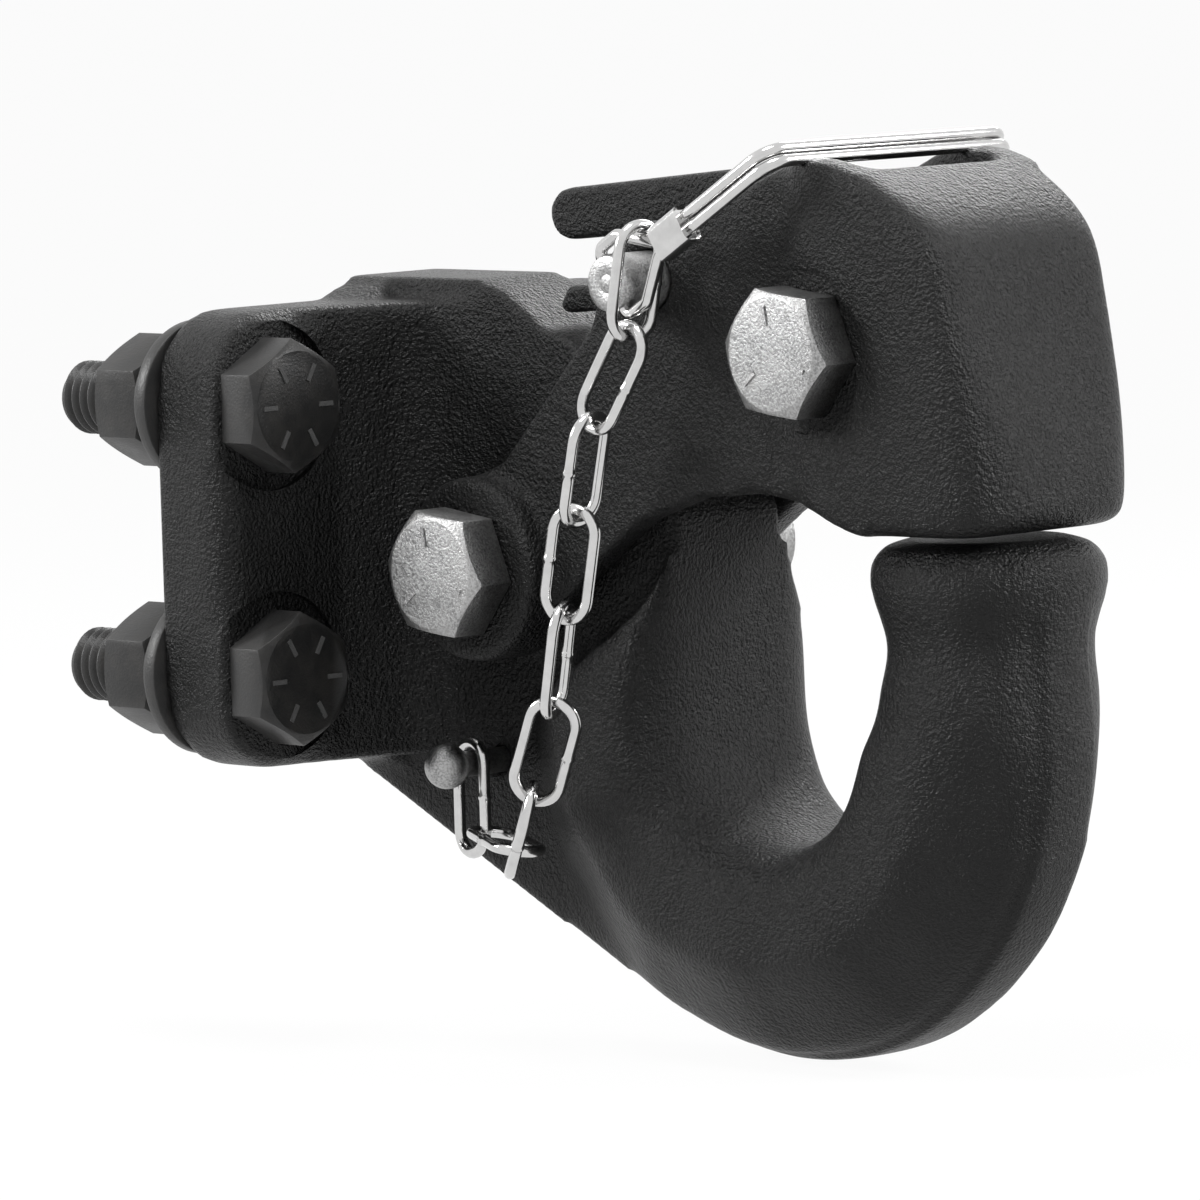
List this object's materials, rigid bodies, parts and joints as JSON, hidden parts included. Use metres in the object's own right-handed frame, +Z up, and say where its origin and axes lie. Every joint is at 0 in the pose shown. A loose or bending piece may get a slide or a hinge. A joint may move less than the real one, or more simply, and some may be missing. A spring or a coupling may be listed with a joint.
{
  "type": "pintle hook",
  "caption": "Forged black pintle hook with a hinged jaw, a sprung jaw lock, a chained safety pin with a wire bail, and its mounting bolts.",
  "frame": {"origin": "middle of the mounting plate's back face", "axes": "+X forward from the plate to the horn, +Y to the lock nuts' side, +Z up"},
  "size_m": [0.1828, 0.1128, 0.1484],
  "materials": {
    "cast_black": "painted",
    "black_oxide": "satin",
    "zinc": "satin",
    "bright_steel": "polished",
    "nylon": "satin"
  },
  "bodies": {
    "base": {"hook_base": "cast_black", "mounting_bolts": "black_oxide", "mounting_washers": "black_oxide", "mounting_lock_washers": "black_oxide", "mounting_nuts": "black_oxide", "pivot_bolt": "zinc", "pivot_nut": "zinc", "pivot_nut_insert": "nylon", "anchor_screw": "zinc", "chain_link_5": "bright_steel", "chain_link_6": "bright_steel", "chain_link_7": "bright_steel", "chain_link_8": "bright_steel", "chain_link_9": "bright_steel"},
    "jaw": {"jaw": "cast_black", "lock_bolt": "zinc", "lock_nut": "zinc", "lock_nut_insert": "nylon", "lock_spring": "bright_steel", "chain_link_1": "bright_steel", "chain_link_2": "bright_steel", "chain_link_3": "bright_steel", "chain_link_4": "bright_steel"},
    "lock": {"lock_lever": "cast_black"},
    "pin": {"safety_pin": "zinc"},
    "bail": {"bail_wire": "bright_steel", "bail_ferrule": "bright_steel"}
  },
  "joints": [
    {"name": "jaw_open", "type": "hinge", "parent": "base", "child": "jaw", "pos_m": [0.043, 0, -0.005], "axis": [0, -1, 0], "range_deg": [0, 42], "deforming": ["chain_link_1", "chain_link_2", "chain_link_3", "chain_link_4", "chain_link_5", "chain_link_6", "chain_link_7", "chain_link_8", "chain_link_9"]},
    {"name": "lock_lift", "type": "hinge", "parent": "jaw", "child": "lock", "pos_m": [0.115, 0, 0.032], "axis": [0, 1, 0], "range_deg": [0, 16.8], "deforming": ["lock_spring"]},
    {"name": "pin_turn", "type": "hinge", "parent": "jaw", "child": "pin", "pos_m": [0.081, 0, 0.0424], "axis": [0, -1, 0], "range_deg": [0, 85]},
    {"name": "bail_swing", "type": "hinge", "parent": "pin", "child": "bail", "pos_m": [0.081, -0.0284, 0.0424], "axis": [-0.5075, 0, 0.8616], "range_deg": [-5, 0]}
  ],
  "couplings": [
    {"joint": "lock_lift", "follows": "jaw_open", "ratio": 0.4}
  ]
}
